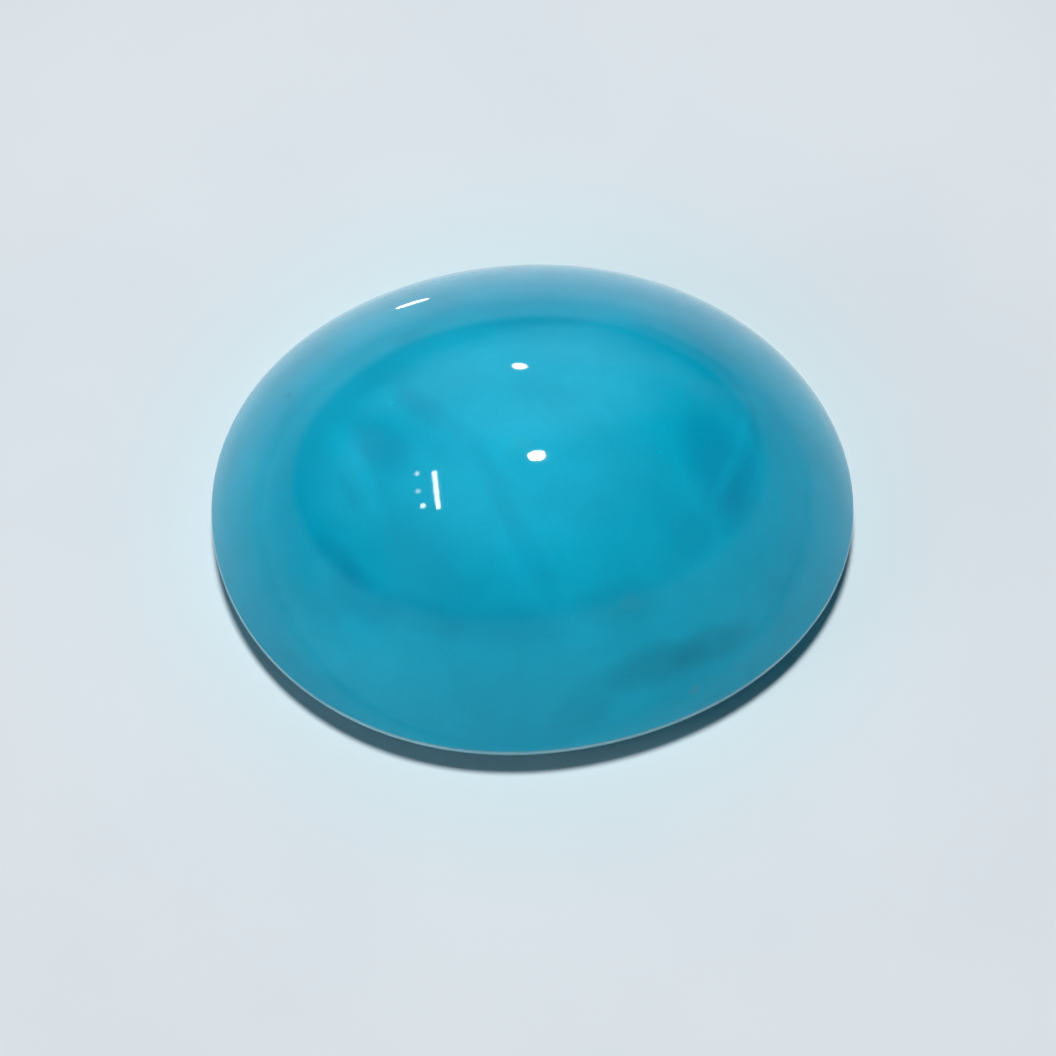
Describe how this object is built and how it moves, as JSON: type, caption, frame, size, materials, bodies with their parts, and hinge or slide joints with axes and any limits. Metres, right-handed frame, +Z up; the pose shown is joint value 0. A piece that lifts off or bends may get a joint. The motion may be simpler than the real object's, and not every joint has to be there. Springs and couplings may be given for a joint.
{
  "type": "oval turquoise cabochon",
  "caption": "Loose oval turquoise cabochon with a high polished dome and a flat ground back.",
  "frame": {"origin": "middle of the flat back, on the surface that the stone rests on", "axes": "+Z up through the top of the dome, +X along the long axis of the oval"},
  "size_m": [0.016, 0.0138, 0.0056],
  "materials": {
    "turquoise": "polished"
  },
  "bodies": {
    "root": {"cabochon": "turquoise"}
  },
  "joints": []
}
